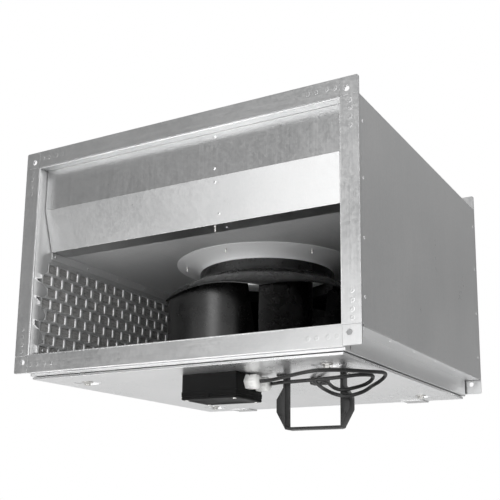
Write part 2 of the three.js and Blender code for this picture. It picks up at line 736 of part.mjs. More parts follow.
// ---- Terminal box under the door, with its glands, plug and cables ----
function addTerminalBox() {
  const w = box.wall;
  const rimTop = boxBottom + box.rimHeight;
  const holes = glandY.map((y) => rod("x", glandThreadRadius + fit, box.x1 - w - 1, box.x1 + 2, 20)
    .translate(0, y, glandZ));
  holes.push(rod("x", glandThreadRadius + fit, box.x0 - 2, box.x0 + w + 1, 20)
    .translate(0, plugY, glandZ));
  const base = cut(
    join(
      block(box.x0, box.x1, box.y0, box.y1, boxBottom, underDoor),
      block(box.x0 - 1, box.x1 + 1, box.y0 - 1, box.y1 + 1, boxBottom, rimTop)),
    block(box.x0 + w, box.x1 - w, box.y0 + w, box.y1 - w, boxBottom - 1, underDoor - w),
    ...holes);
  add("terminal_box", base, blackPlastic);
  const lidTop = boxBottom - fit;
  const lid = cut(
    block(box.x0, box.x1, box.y0, box.y1, lidTop - lidHeight, lidTop),
    block(box.x0 + w, box.x1 - w, box.y0 + w, box.y1 - w, lidTop - lidHeight + lidWall, lidTop + 1));
  add("terminal_lid", lid, blackPlastic);
  const blockTop = underDoor - w - fit;
  add("terminal_block", block(terminalBlock.x0, terminalBlock.x1, terminalBlock.y0, terminalBlock.y1,
    blockTop - terminalBlock.height, blockTop), terminalGrey);
}

// A gland is turned about its own axis: thread, hexagon's round, dome.
function addGlands() {
  const thread = box.wall + 5;
  const profile = [[0, -thread], [glandThreadRadius, -thread], [glandThreadRadius, fit],
    [glandRadius, fit], [glandRadius, 9], [glandRadius - 1.5, 10], [glandRadius - 1.5, 11],
    [glandRadius - 0.5, 12], [glandRadius - 1, glandLength - 6], [glandRadius - 4, glandLength - 1],
    [cableRadius + 1.5, glandLength], [0, glandLength]];
  ["front", "rear"].forEach((name, i) => {
    const gland = turned(profile, 20).rotateY(Math.PI / 2);
    add(`cable_gland_${name}`, gland, whitePlastic, [box.x1, glandY[i], glandZ]);
  });
  const plug = [[0, -thread], [glandThreadRadius, -thread], [glandThreadRadius, fit],
    [plugRadius, fit], [plugRadius, plugLength - 1.5], [plugRadius - 1.5, plugLength],
    [0, plugLength]];
  add("blanking_plug", turned(plug, 20).rotateY(-Math.PI / 2), whitePlastic,
    [box.x0, plugY, glandZ]);
}

function tube(points, radius, sides, steps) {
  const curve = new THREE.CatmullRomCurve3(points.map((p) => new THREE.Vector3(...p)), false,
    "centripetal");
  const ring = new THREE.Shape();
  for (let i = 0; i < sides; i++) {
    const angle = (2 * Math.PI * i) / sides;
    const go = i === 0 ? "moveTo" : "lineTo";
    ring[go](radius * Math.cos(angle), radius * Math.sin(angle));
  }
  return new THREE.ExtrudeGeometry(ring, { steps, extrudePath: curve, bevelEnabled: false });
}

function addCables() {
  const z = underDoor - grommet.height / 2;
  const start = box.x1 + glandLength + fit;
  const end = grommet.y0 - fit;
  const routes = [["front", frontCableRoute], ["rear", rearCableRoute]];
  routes.forEach(([name, route], i) => {
    const below = route.map(([x, y, drop]) => [x, y, underDoor + drop]);
    const points = [[start, glandY[i], glandZ], ...below, [grommetX[i], end - 6, z],
      [grommetX[i], end, z]];
    add(`motor_cable_${name}`, tube(points, cableRadius, 8, 44), cableJacket);
  });
  add("cable_grommet", block(grommet.x0, grommet.x1, grommet.y0, grommet.y1,
    underDoor - grommet.height, underDoor), rubber);
}

addTerminalBox();
addGlands();
addCables();

export default model;
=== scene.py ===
# %% [markdown]
# # A duct fan in its insulated casing
# The object is a rectangular duct fan. Two flanges join it to the ducts, and a deck inside carries
# a round inlet cone. Under the cone a black centrifugal impeller turns on a motor, and the motor
# stands on a door that swings down from the underside. The door also carries a terminal box, two
# cables and a pull handle.
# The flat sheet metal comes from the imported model. This lesson adds what a solid model leaves out:
# round shapes that are really round, holes, rivets, screws, and the finish of each surface.

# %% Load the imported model
import bmesh
import bpy
import numpy as np
from mathutils import Matrix, Vector


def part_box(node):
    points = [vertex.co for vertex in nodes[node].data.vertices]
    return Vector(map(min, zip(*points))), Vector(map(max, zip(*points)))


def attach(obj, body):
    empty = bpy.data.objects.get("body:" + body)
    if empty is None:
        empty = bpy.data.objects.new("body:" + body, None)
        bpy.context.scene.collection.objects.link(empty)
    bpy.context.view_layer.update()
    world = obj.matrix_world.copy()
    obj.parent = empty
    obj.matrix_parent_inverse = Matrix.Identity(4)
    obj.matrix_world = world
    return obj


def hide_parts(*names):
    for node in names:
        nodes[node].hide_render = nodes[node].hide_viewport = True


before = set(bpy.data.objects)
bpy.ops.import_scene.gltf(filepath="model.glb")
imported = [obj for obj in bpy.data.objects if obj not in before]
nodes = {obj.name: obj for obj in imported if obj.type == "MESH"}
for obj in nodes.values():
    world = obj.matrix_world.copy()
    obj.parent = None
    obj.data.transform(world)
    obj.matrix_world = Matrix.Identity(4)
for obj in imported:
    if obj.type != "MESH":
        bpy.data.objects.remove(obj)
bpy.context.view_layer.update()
MM = 0.001

# %% [markdown]
# ## The camera
# The fan is seen from below its front right corner, so that the underside and the inside both
# show. The camera stands lower than the fan and looks up. A camera's matrix holds its right, up and
# backward directions as columns, so three vectors are enough to aim it, and no angle has to be
# worked out. The shift moves what is seen within the frame without tilting the uprights.

# %% Camera
view_direction = Vector((-0.48914, 0.84856, 0.20172)).normalized()
view_right = view_direction.cross(Vector((0.09081, -0.18047, 0.97938))).normalized()
view_up = view_right.cross(view_direction)
camera_data = bpy.data.cameras.new("camera")
camera_data.sensor_width = 36
camera_data.lens = 63.96
camera_data.shift_y = 0.15
camera_data.clip_start, camera_data.clip_end = 0.05, 60
camera = bpy.data.objects.new("camera", camera_data)
aim = Matrix((view_right, view_up, -view_direction)).transposed().to_4x4()
camera_place = Vector((804.0, -1136.4, -431.4)) * MM
camera.matrix_world = Matrix.Translation(camera_place) @ aim
bpy.context.scene.collection.objects.link(camera)
bpy.context.scene.camera = camera
print("camera at", [round(v, 3) for v in camera.matrix_world.translation])

# %% [markdown]
# ## Finishes
# A finish is a node material. All of them start from the same small helper, which adds a node,
# sets its inputs by name and returns it. A value that is the same all over a surface is set on the
# shader's own socket, and only what varies gets a link.

# %% Node helpers
def grey(value, tint=(1.0, 1.0, 1.0)):
    """A linear colour: one grey value times a tint."""
    return (value * tint[0], value * tint[1], value * tint[2], 1.0)


def add_node(tree, kind, inputs=None, **settings):
    """Adds a node to a tree. Each input is a value, or the output of another node."""
    made = tree.nodes.new("ShaderNode" + kind)
    for key, value in settings.items():
        setattr(made, key, value)
    for key, value in (inputs or {}).items():
        if isinstance(value, bpy.types.NodeSocket):
            tree.links.new(value, made.inputs[key])
        else:
            made.inputs[key].default_value = value
    return made


MIX_A, MIX_B, MIX_RESULT = 6, 7, 2  # the Mix node's colour sockets share their names with others


class Finish:
    """A node material with one Principled shader, and short ways to add what varies."""

    def __init__(self, name, colour, roughness, metallic=0.0, **fixed):
        self.material = bpy.data.materials.new(name)
        self.material.use_nodes = True
        self.tree = self.material.node_tree
        self.shader = self.tree.nodes["Principled BSDF"]
        fixed.update(Base_Color=colour, Roughness=roughness, Metallic=metallic)
        for socket, value in fixed.items():
            self.shader.inputs[socket.replace("_", " ")].default_value = value
        self.place = self.node("TexCoord").outputs["Object"]
        self.normal = None

    def node(self, kind, inputs=None, **settings):
        return add_node(self.tree, kind, inputs, **settings)

    def stretched(self, scale):
        """Object coordinates, scaled apart on each axis, so that a pattern runs along one of them."""
        return self.node("Mapping", {"Vector": self.place, "Scale": scale}).outputs["Vector"]

    def noise(self, scale, detail=3.0, roughness=0.5, along=None):
        """Soft noise, stretched along an axis if a scale per axis is given."""
        where = self.stretched(along) if along else self.place
        return self.node("TexNoise", {"Vector": where, "Scale": scale, "Detail": detail,
                                      "Roughness": roughness}).outputs["Fac"]

    def cells(self, scale):
        """Random grey per cell, for crystals that meet edge to edge."""
        cell = self.node("TexVoronoi", {"Vector": self.place, "Scale": scale})
        return self.node("SeparateColor", {"Color": cell.outputs["Color"]}).outputs["Red"]

    def span(self, value, low, high, start, end):
        """Maps a value that runs from start to end onto low to high."""
        return self.node("MapRange", {"Value": value, "From Min": start, "From Max": end,
                                      "To Min": low, "To Max": high}).outputs["Result"]

    def colour(self, factor, a, b):
        """Blends two colours by a factor."""
        mixed = self.node("Mix", {"Factor": factor, MIX_A: a, MIX_B: b}, data_type="RGBA")
        self.tree.links.new(mixed.outputs[MIX_RESULT], self.shader.inputs["Base Color"])

    def rough(self, value):
        self.tree.links.new(value, self.shader.inputs["Roughness"])

    def bump(self, height, distance, strength=1.0):
        """Adds a relief on top of any relief that is there already."""
        inputs = {"Height": height, "Distance": distance, "Strength": strength}
        if self.normal is not None:
            inputs["Normal"] = self.normal
        self.normal = self.node("Bump", inputs).outputs["Normal"]
        self.tree.links.new(self.normal, self.shader.inputs["Normal"])

    def round_edges(self, radius):
        """Shades an edge as if it were rounded, which a folded sheet's edge is."""
        self.normal = self.node("Bevel", {"Radius": radius}, samples=4).outputs["Normal"]
        self.tree.links.new(self.normal, self.shader.inputs["Normal"])


# %% [markdown]
# ## Galvanised sheet
# Hot-dip zinc freezes in crystals called spangle, and modern sheet has a fine one. Rolling leaves a
# faint grain along the sheet, and handling leaves cloudy stains. Each of the three is a pattern:
# Voronoi cells for the crystals, noise stretched along one axis for the grain, and broad soft noise
# for the stains. They move the colour a little and the roughness more, because bare metal shows
# its marks mainly by how it blurs a reflection.

# %% Galvanised sheet
COOL = (0.985, 0.995, 1.0)
EVEN, ALONG_X, ALONG_Y, ALONG_Z = (1, 1, 1), (0.02, 1, 1), (1, 0.02, 1), (1, 1, 0.02)


def galvanised(name, value, roughness, grain, spangle=260.0, stain=0.05, edge=0.0006, bare=1.0):
    """Zinc-coated sheet: crystal cells, grain along one axis, and broad stains."""
    zinc = Finish(name, grey(value), roughness, bare)
    crystals = zinc.cells(spangle)
    streaks = zinc.noise(420.0, 4.0, 0.6, along=grain)
    clouds = zinc.noise(7.0, 4.0, 0.55)
    marks = 0.0
    for pattern, weight in ((crystals, 0.35), (streaks, 0.9), (clouds, 0.8)):
        marks = zinc.node("Math", {0: pattern, 1: weight, 2: marks},
                          operation="MULTIPLY_ADD").outputs["Value"]
    least, most = 0.55, 1.45  # nearly all of the weighted sum lies between these
    tone = zinc.span(marks, 0.0, 1.0, least, most)
    zinc.colour(tone, grey(value * (1 - stain), COOL), grey(value * (1 + stain * 0.6)))
    zinc.rough(zinc.span(marks, roughness * 0.78, roughness * 1.25, least, most))
    if edge:
        zinc.round_edges(edge)
    zinc.bump(streaks, 0.00003, 0.3)
    zinc.bump(crystals, 0.00002, 0.3)
    zinc.bump(clouds, 0.0012, 0.35)
    return zinc.material


flange_zinc = galvanised("flange_zinc", 0.68, 0.34, ALONG_X)
upright_zinc = galvanised("upright_zinc", 0.70, 0.34, ALONG_Z)
skin_zinc = galvanised("skin_zinc", 0.74, 0.34, ALONG_Z, stain=0.07)
lining_zinc = galvanised("lining_zinc", 0.62, 0.45, ALONG_Z, bare=0.7)
deck_zinc = galvanised("deck_zinc", 0.72, 0.40, ALONG_Y, stain=0.08, bare=0.65)
baffle_zinc = galvanised("baffle_zinc", 0.62, 0.34, ALONG_Z)
tray_zinc = galvanised("tray_zinc", 0.76, 0.38, ALONG_X)
door_zinc = galvanised("door_zinc", 0.86, 0.30, ALONG_Y, spangle=420.0, stain=0.05)
# Painted sheen: the cone's near-white colour, with little metal in it, stands in for the bright
# reflection that spun zinc shows there.
cone_painted_sheen = galvanised("cone_painted_sheen", 0.93, 0.45, EVEN, spangle=420.0, stain=0.03, edge=0, bare=0.15)
small_zinc = galvanised("small_zinc", 0.78, 0.28, EVEN, spangle=900.0, edge=0)
print("galvanised finishes:", len(bpy.data.materials))


# %% [markdown]
# ## Plastics, rubber, wool and the other metals
# Moulded plastic is never quite even: the mould's texture is a fine bump, and flow and handling
# change its gloss over a few centimetres. The black parts are glass-filled, so their skin is slightly
# cloudy. Mineral wool is a mat of fibres, so its noise is stretched and deep.

# %% Other finishes
def moulded(name, colour, lighter, roughness, grain=1500.0, depth=0.00005, gloss=0.5):
    """Moulded plastic: fine mould texture, and gloss that drifts over a few centimetres."""
    plastic = Finish(name, colour, roughness, Specular_IOR_Level=gloss)
    drift = plastic.noise(26.0, 4.0, 0.6)
    texture = plastic.noise(grain, 2.0, 0.5)
    plastic.colour(plastic.span(drift, 0.0, 1.0, 0.35, 0.7), colour, lighter)
    plastic.rough(plastic.span(drift, roughness * 0.8, roughness * 1.2, 0.3, 0.7))
    plastic.bump(texture, depth, 0.6)
    return plastic.material


def metal(name, value, roughness, tint=(1.0, 1.0, 1.0), depth=0.00004, grain=700.0):
    """Plain metal with a fine even grain and a drifting roughness."""
    plain = Finish(name, grey(value, tint), roughness, 1.0)
    drift = plain.noise(60.0, 3.0)
    plain.colour(plain.span(drift, 0.0, 1.0, 0.3, 0.7), grey(value * 0.85, tint), grey(value, tint))
    plain.rough(plain.span(drift, roughness * 0.8, roughness * 1.25, 0.3, 0.7))
    plain.bump(plain.noise(grain, 3.0), depth, 0.6)
    return plain.material


wheel_black = moulded("wheel_black", grey(0.001), grey(0.005), 0.28, grain=900.0, gloss=0.55)
box_black = moulded("box_black", grey(0.002), grey(0.005), 0.52, gloss=0.10)
gland_white = moulded("gland_white", grey(0.72, (1, 1, 0.98)), grey(0.80, (1, 1, 0.98)), 0.42)
terminal_grey = moulded("terminal_grey", grey(0.35), grey(0.42), 0.5)
rubber_black = moulded("rubber_black", grey(0.012), grey(0.022), 0.75, grain=600.0, depth=0.0001)
jacket_grey = moulded("jacket_grey", grey(0.010), grey(0.018), 0.42, grain=900.0, gloss=0.3)
handle_paint = moulded("handle_paint", grey(0.011), grey(0.020), 0.36, grain=650.0, depth=0.0001,
                       gloss=0.35)
bolt_steel = metal("bolt_steel", 0.72, 0.25, (1.0, 0.99, 0.96))
hinge_steel = metal("hinge_steel", 0.66, 0.30)
cast_aluminium = metal("cast_aluminium", 0.55, 0.48, depth=0.0003, grain=320.0)

wool = Finish("mineral_wool_finish", grey(0.10, (1.0, 0.97, 0.88)), 0.95)
fibres = wool.noise(260.0, 6.0, 0.75, along=(1.0, 0.25, 1.0))
wool.colour(wool.span(fibres, 0.0, 1.0, 0.35, 0.65), grey(0.14, (1, 0.99, 0.97)),
            grey(0.34, (1, 0.99, 0.97)))
wool.bump(fibres, 0.002, 1.0)
print("finishes:", len(bpy.data.materials))

# %% [markdown]
# ## From numbers to a mesh
# Every new piece is a grid of points, worked out as whole arrays, and its faces follow from its
# size. Each direction can be open or joined to itself: a tube is joined one way, and a ring both
# ways. Points that fall on one another, as at a pole, are merged, and then the normals are turned
# outwards. Lengths are in millimetres and become metres here.

# %% Mesh helpers
SAME_POINT = 2e-6  # metres


def grid_faces(rows, columns, wrap_rows=False, wrap_columns=False, start=0):
    """Quads between neighbouring rows and columns; a wrapped direction joins its end to its start."""
    i = np.arange(rows if wrap_rows else rows - 1)[:, None]
    j = np.arange(columns if wrap_columns else columns - 1)[None, :]
    down, across = (i + 1) % rows, (j + 1) % columns
    corners = [i * columns + j, down * columns + j, down * columns + across, i * columns + across]
    quads = np.stack([np.broadcast_to(c, (i.size, j.size)) for c in corners], axis=-1)
    return quads.reshape(-1, 4) + start


def make_piece(name, points, faces, finish, body, stands_for=(), angle=32.0, closed=True):
    """Puts points (mm) and faces into a mesh, closes and smooths it, and says what it rides on."""
    mesh = bpy.data.meshes.new(name)
    faces = faces if isinstance(faces, list) else faces.tolist()
    mesh.from_pydata((np.asarray(points, float).reshape(-1, 3) * MM).tolist(), [], faces)
    work = bmesh.new()
    work.from_mesh(mesh)
    bmesh.ops.remove_doubles(work, verts=work.verts, dist=SAME_POINT)
    if closed:
        bmesh.ops.recalc_face_normals(work, faces=work.faces)
    work.to_mesh(mesh)
    work.free()
    mesh.shade_smooth()
    mesh.set_sharp_from_angle(angle=np.radians(angle))
    mesh.materials.append(finish)
    made = bpy.data.objects.new(name, mesh)
    bpy.context.scene.collection.objects.link(made)
    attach(made, body)
    if stands_for:
        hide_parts(*stands_for)
    print(name, "has", len(mesh.polygons), "faces")
    return made


def soften(profile, radius, steps=4):
    """Rounds each corner of a line: a curve from a point before the corner to a point after it."""
    line = np.asarray(profile, float)
    before, after = np.roll(line, 1, axis=0) - line, np.roll(line, -1, axis=0) - line
    reach = [np.minimum(radius, np.linalg.norm(d, axis=1) * 0.45) for d in (before, after)]
    unit = [d / np.maximum(np.linalg.norm(d, axis=1), 1e-9)[:, None] for d in (before, after)]
    a, b = (line + u * r[:, None] for u, r in zip(unit, reach))
    t = np.linspace(0, 1, steps)[None, :, None]
    curve = (1 - t) ** 2 * a[:, None] + 2 * t * (1 - t) * line[:, None] + t ** 2 * b[:, None]
    return np.vstack([line[:1], curve[1:-1].reshape(-1, 2), line[-1:]])


AXES = {"x": ((0, 1, 0), (0, 0, 1), (1, 0, 0)), "-x": ((0, 0, 1), (0, 1, 0), (-1, 0, 0)),
        "y": ((0, 0, 1), (1, 0, 0), (0, 1, 0)), "-y": ((1, 0, 0), (0, 0, 1), (0, -1, 0)),
        "z": ((1, 0, 0), (0, 1, 0), (0, 0, 1)), "-z": ((0, 1, 0), (1, 0, 0), (0, 0, -1))}


def turned_grid(profile, sides, axis="z", ripple=1.0):
    """Radius and height of each profile point, carried round an axis; ripple scales the radius."""
    profile = np.asarray(profile, float)
    u, v, w = (np.array(a, float) for a in AXES[axis])
    angle = np.linspace(0, 2 * np.pi, sides, endpoint=False)
    radius = profile[:, :1] * ripple
    circle = np.cos(angle)[:, None] * u + np.sin(angle)[:, None] * v
    return radius[..., None] * circle[None] + profile[:, 1][:, None, None] * w


def turn(name, profile, place, finish, body, sides, stands_for=()):
    """A closed loop of profile turned round an upright axis through a place."""
    points = turned_grid(profile, sides) + np.array(place)
    faces = grid_faces(len(profile), sides, wrap_rows=True, wrap_columns=True)
    return make_piece(name, points, faces, finish, body, stands_for)


def copied_faces(grids):
    """Faces of many grids of one size, each joined round like a tube."""
    count, rows, columns = np.shape(grids)[:3]
    return np.vstack([grid_faces(rows, columns, wrap_columns=True, start=k * rows * columns)
                      for k in range(count)])


def stamps(name, profile, places, finish, body, sides=14):
    """Many copies of one small turned shape. Each place is (x, y, z, axis)."""
    grids = [turned_grid(profile, sides, axis) + np.array((x, y, z)) for x, y, z, axis in places]
    return make_piece(name, grids, copied_faces(grids), finish, body)


# %% [markdown]
# ## The cables
# Two round cables run from the glands of the terminal box, loop round the far leg of the handle,
# and go through a grommet in the door to the motor. They come first, because their routes decide
# where there is room. A Catmull-Rom curve passes through every chosen point, and spacing the
# parameter by the square root of the distance keeps it from overshooting at uneven points.

# %% Cables
front_route = [
    (105.3, 112, -229.5), (112, 112, -229.5), (124, 109.5, -229.5), (141, 103, -229),
    (165, 89.5, -228.5), (192, 75, -228), (213, 66, -227.5), (232, 62.5, -227), (248, 67, -227),
    (261, 77, -226.5), (273, 91, -226), (283, 106, -225.5), (290.5, 124, -224.5),
    (295.5, 145, -222.5), (297, 164, -221), (294.5, 179.5, -222), (287.5, 188, -226),
    (279.5, 187.5, -231.8), (275, 179, -237), (275, 165, -242), (276, 151, -247),
    (273.5, 138.5, -252.5), (265.5, 130, -257), (254, 126, -259.5), (241, 126, -258.5),
    (226, 131, -254), (206, 146, -245.5), (188, 167, -237.5), (172, 186, -229), (160, 198, -223),
    (151, 209.7, -219.8), (151, 215.7, -219.8)]
rear_route = [
    (105.3, 147, -229.5), (110.5, 147, -229.6), (118, 142, -230), (127, 135.5, -230.5),
    (138, 131, -231), (154, 127, -231.5), (187, 120.5, -232), (222, 116.5, -232),
    (243, 114, -231.5), (258, 114.5, -230.5), (270.5, 120, -229), (280, 130, -227.8),
    (284.5, 143, -227), (283, 155, -228.5), (276.5, 161.5, -233), (268.5, 160, -238),
    (262, 150, -242.5), (255.5, 140, -246), (246, 134, -248.5), (235.5, 133.6, -248),
    (225, 139, -244.5), (213, 152, -238.5), (200, 170, -231.5), (185, 187, -224.5),
    (171, 198.5, -220.8), (162, 209.7, -219.8), (162, 215.7, -219.8)]
cable_diameter = 6.0


def smooth_route(route, steps=8):
    """Centripetal Catmull-Rom: three rounds of straight blends between neighbouring points."""
    p = np.asarray(route, float)
    p = np.vstack([2 * p[0] - p[1], p, 2 * p[-1] - p[-2]])
    knots = np.concatenate([[0], np.cumsum(np.linalg.norm(np.diff(p, axis=0), axis=1) ** 0.5)])
    k = np.arange(1, len(p) - 2)
    t0, t1, t2, t3 = (knots[k + d][:, None, None] for d in (-1, 0, 1, 2))
    p0, p1, p2, p3 = (p[k + d][:, None, :] for d in (-1, 0, 1, 2))
    t = t1 + (t2 - t1) * np.linspace(0, 1, steps, endpoint=False)[None, :, None]

    def between(a, b, ta, tb):
        return (tb - t) / (tb - ta) * a + (t - ta) / (tb - ta) * b

    a, b, c = between(p0, p1, t0, t1), between(p1, p2, t1, t2), between(p2, p3, t2, t3)
    curve = between(between(a, b, t0, t2), between(b, c, t1, t3), t1, t2)
    return np.vstack([curve.reshape(-1, 3), p[-2]])


def cable(name, route):
    """A curve of one open spline with a round section."""
    points = smooth_route(route)
    curve = bpy.data.curves.new(name, "CURVE")
    curve.dimensions = "3D"
    curve.bevel_depth = cable_diameter / 2 * MM
    curve.bevel_resolution = 5
    curve.use_fill_caps = True
    spline = curve.splines.new("POLY")
    spline.points.add(len(points) - 1)
    spline.points.foreach_set("co", np.c_[points * MM, np.ones(len(points))].ravel())
    spline.use_smooth = True
    curve.materials.append(jacket_grey)
    made = bpy.data.objects.new(name + "_jacket", curve)
    bpy.context.scene.collection.objects.link(made)
    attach(made, "door")
    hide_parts(name)


cable("motor_cable_front", front_route)
cable("motor_cable_rear", rear_route)

# %% [markdown]
# ## The inlet cone
# The cone is spun from sheet: a flat flange, a quarter of an ellipse, and a short straight throat.
# Under the deck a wider skirt carries the curve out over the screws, and is what shows from below.
# A spun part has one profile, so it is that profile carried round the fan's axis, closed on both
# sides of the wall.

# %% Inlet cone
fan_axis = (0.0, 323.0, 0.0)
cone_wall, cone_sides = 1.2, 144
cone_rim, cone_flange, cone_throat = 175.0, 26.5, 121.5  # rim radius, flange height, throat radius


def quarter_ellipse(centre_r, centre_z, half_r, half_z, steps=18):
    """Radius = centre - half_r cos(t), height = centre + half_z sin(t), for t from 90 to 0 degrees."""
    t = np.linspace(np.pi / 2, 0, steps)
    return np.c_[centre_r - half_r * np.cos(t), centre_z + half_z * np.sin(t)]


cone_under = np.vstack([[cone_rim, cone_flange], [152.0, cone_flange],
                        quarter_ellipse(150, 9, 28.5, 17.5), [cone_throat, 7.0]])
cone_over = np.vstack([[cone_throat - cone_wall, 7.0],
                       quarter_ellipse(150, 9, 28.5 + cone_wall, 17.5 + cone_wall)[::-1],
                       [152.0, cone_flange + cone_wall], [cone_rim, cone_flange + cone_wall]])
# Both cone pieces take the painted-sheen finish. It is near-white and barely metallic, and it stands in
# for their bright reflection.
turn("inlet_cone_spun", np.vstack([cone_under, cone_over]), fan_axis, cone_painted_sheen, "casing",
     cone_sides, ["inlet_cone"])
skirt_under = np.vstack([[174.0, 24.7], quarter_ellipse(170, 8.4, 47.0, 16.2, 26), [123.0, 7.4]])
skirt_over = np.vstack([[122.3, 7.4], quarter_ellipse(170, 8.4, 47.7, 16.5, 26)[::-1], [174.0, 24.95]])
turn("inlet_cone_skirt", np.vstack([skirt_under, skirt_over]), fan_axis, cone_painted_sheen, "casing",
     cone_sides)

# %% [markdown]
# ## The impeller
# The shroud is a turned surface whose rim is scalloped: it reaches furthest at the six blade tips
# and draws in between them. So it is a grid of angle and of the way from ring to rim, where the
# rim's radius depends on the angle. Each blade is two grids, its outer face and its inner face,
# joined along their edges, so it is a closed sheet with real thickness. The blades are bent
# backwards: the root lies 56 degrees further round than the tip.

# %% Shroud and ring
blade_count, tip_angle, wrap = 6, -65.0, 56.0
ring_radius, ring_wall, ring_top, ring_foot = 129.2, 2.7, 9.0, -11.0
tip_radius, rim_dip, shroud_drop, shroud_wall = 203.0, 13.0, 47.0, 2.5


def rim_radius(angle):
    """The tip radius, less a half sine between two blade tips."""
    turn_on = np.mod(np.degrees(angle) - tip_angle, 360 / blade_count) / (360 / blade_count)
    return tip_radius - rim_dip * np.sin(np.pi * turn_on)


def shroud_height(radius):
    """Falls from the ring's foot to the rim, and steepens towards it."""
    s = (radius - ring_radius) / (tip_radius - ring_radius)
    return ring_foot - shroud_drop * (0.62 * s + 0.38 * s ** 3)


def around_fan(r, angle, z):
    """Points at a radius, an angle and a height on the fan's axis."""
    return np.stack([r * np.cos(angle), r * np.sin(angle), z], axis=-1) + np.array(fan_axis)


def shroud_points(sides=360, steps=16):
    """Up the ring's inside, down its outside, out over the shroud, round the rim and back under."""
    angle = np.linspace(0, 2 * np.pi, sides, endpoint=False)[None, :]
    s = np.linspace(0, 1, steps)[:, None]
    r = ring_radius + (rim_radius(angle) - ring_radius) * s
    top = shroud_height(r)
    inner, edge = ring_radius - ring_wall, 0.8
    ring = np.array([(inner, ring_foot - 2), (inner, ring_top - edge), (inner + edge, ring_top),
                     (ring_radius - edge, ring_top), (ring_radius, ring_top - edge),
                     (ring_radius, ring_foot + 7), (ring_radius + 0.5, ring_foot + 3.2),
                     (ring_radius + 1.8, ring_foot + 0.4), (inner, ring_foot - shroud_wall)])
    ring_r, ring_z = (ring[:, k, None] + 0 * angle for k in (0, 1))
    r = np.vstack([ring_r[:-1], r[1:], r[-1:] + 0.5, r[::-1][:-1], ring_r[-1:]])
    z = np.vstack([ring_z[:-1], top[1:], top[-1:] - shroud_wall / 2, top[::-1][:-1] - shroud_wall,
                   ring_z[-1:]])
    return around_fan(r, angle, z)


shroud = shroud_points()
make_piece("impeller_shroud_moulded", shroud,
           grid_faces(shroud.shape[0], shroud.shape[1], True, True), wheel_black, "impeller",
           ["impeller_shroud"], angle=40)
print("shroud points:", shroud.shape[0] * shroud.shape[1])

# %% Blades, back plate and hub
wheel_floor, plate_top = -186.0, -183.0
root_radius, root_slant, blade_wall = 102.0, 22.0, 3.0
blade_start, blade_depth = 200.0, 98.0  # the radius where a blade's line starts, and its way in
straight, bent = 0.7, 0.3  # the shares of that way that go with s and with its square


def between_sheets(front, back):
    """Points and quads of a closed sheet: two grids of one shape, joined along their four edges."""
    rows, columns = front.shape[:2]
    count = rows * columns
    number = np.arange(count).reshape(rows, columns)
    borders = (number[:, 0], number[:, -1], number[0], number[-1])
    sides = [np.stack([a[:-1], a[1:], a[1:] + count, a[:-1] + count], axis=-1) for a in borders]
    faces = np.vstack([grid_faces(rows, columns), grid_faces(rows, columns, start=count), *sides])
    return np.stack([front, back]).reshape(-1, 3), faces


def blade_sheets(start_angle, rows=28, columns=20):
    """s runs from tip to root, h from floor to shroud. The root line leans out with height."""
    h = np.linspace(0, 1, columns)[None, :]
    reach = (blade_start - root_radius - root_slant * h) / blade_depth
    s_end = (np.sqrt(straight ** 2 + 4 * bent * reach) - straight) / (2 * bent)
    s = np.linspace(0, 1, rows)[:, None] * s_end
    angle = np.radians(start_angle + wrap * s)
    radius = blade_start - blade_depth * (straight * s + bent * s ** 2)
    lean = np.arctan2(blade_depth * (straight + 2 * bent * s), radius * np.radians(wrap))
    sheets = []
    for depth in (0.0, blade_wall):
        x = radius * np.cos(angle) - depth * np.cos(angle + lean)
        y = radius * np.sin(angle) - depth * np.sin(angle + lean)
        roof = shroud_height(np.maximum(np.hypot(x, y), ring_radius)) - shroud_wall - 0.1
        foot = plate_top - 0.4
        sheets.append(np.stack([x, y, foot + (roof - foot) * h], axis=-1) + np.array(fan_axis))
    return sheets


blades = [between_sheets(*blade_sheets(tip_angle + 360 / blade_count * k)) for k in range(blade_count)]
offsets = np.cumsum([0] + [len(p) for p, _ in blades[:-1]])
make_piece("impeller_blades", np.vstack([p for p, _ in blades]),
           np.vstack([f + n for (_, f), n in zip(blades, offsets)]), wheel_black, "impeller",
           ["impeller_wheel"], angle=50)


def wheel_plate_points(sides=360):
    """Back plate and hub as one loop; only the two points at the rim follow the scallops."""
    mid, bore, inner, outer, crown, ceiling = 120.0, 19.5, 62.3, 65.8, -116.2, -119.7
    loop = np.array([[inner, wheel_floor], [mid, wheel_floor], [tip_radius, wheel_floor],
                     [tip_radius, plate_top], [mid, plate_top], [outer + 2.5, plate_top],
                     [outer, plate_top + 2.5], [outer, crown - 2.8], [outer - 2.8, crown],
                     [bore, crown], [bore, ceiling], [inner, ceiling]])
    angle = np.linspace(0, 2 * np.pi, sides, endpoint=False)[None, :]
    r = np.where(loop[:, :1] == tip_radius, rim_radius(angle), loop[:, :1])
    return around_fan(r, angle, loop[:, 1:] + 0 * angle)


hub = wheel_plate_points()
make_piece("impeller_hub", hub, grid_faces(hub.shape[0], hub.shape[1], True, True), wheel_black,
           "impeller")

# %% [markdown]
# ## The perforated linings
# The sides are boxes of mineral wool behind a sheet with large square holes in a brick pattern.
# The holes are pressed, so each has a sloping edge, and those edges catch the light from the
# front. A quarter-pitch lattice suits a brick pattern: half a pitch is two steps, so the corners
# of one row fall on lattice points of the next. A cell with a hole takes its sixteen border points
# from the lattice, and two smaller rings inside them make the flat rib and the pressed edge.

# %% Perforated linings
pitch_y, pitch_z, first_row, rows_of_holes, plain_row = 28.0, 21.8, -171.4, 15, 8
holes_in_row, first_hole = 20, 23.0
rib, pressed_edge, pressed_depth = np.array([3.0, 2.6]), np.array([2.6, 1.3]), 1.5
lining_face, lining_wall, hidden_columns, corner_cut = 298.7, 0.6, 2, 0.07
lining_y, lining_z = (1.0, 605.0), (-174.7, 173.4)


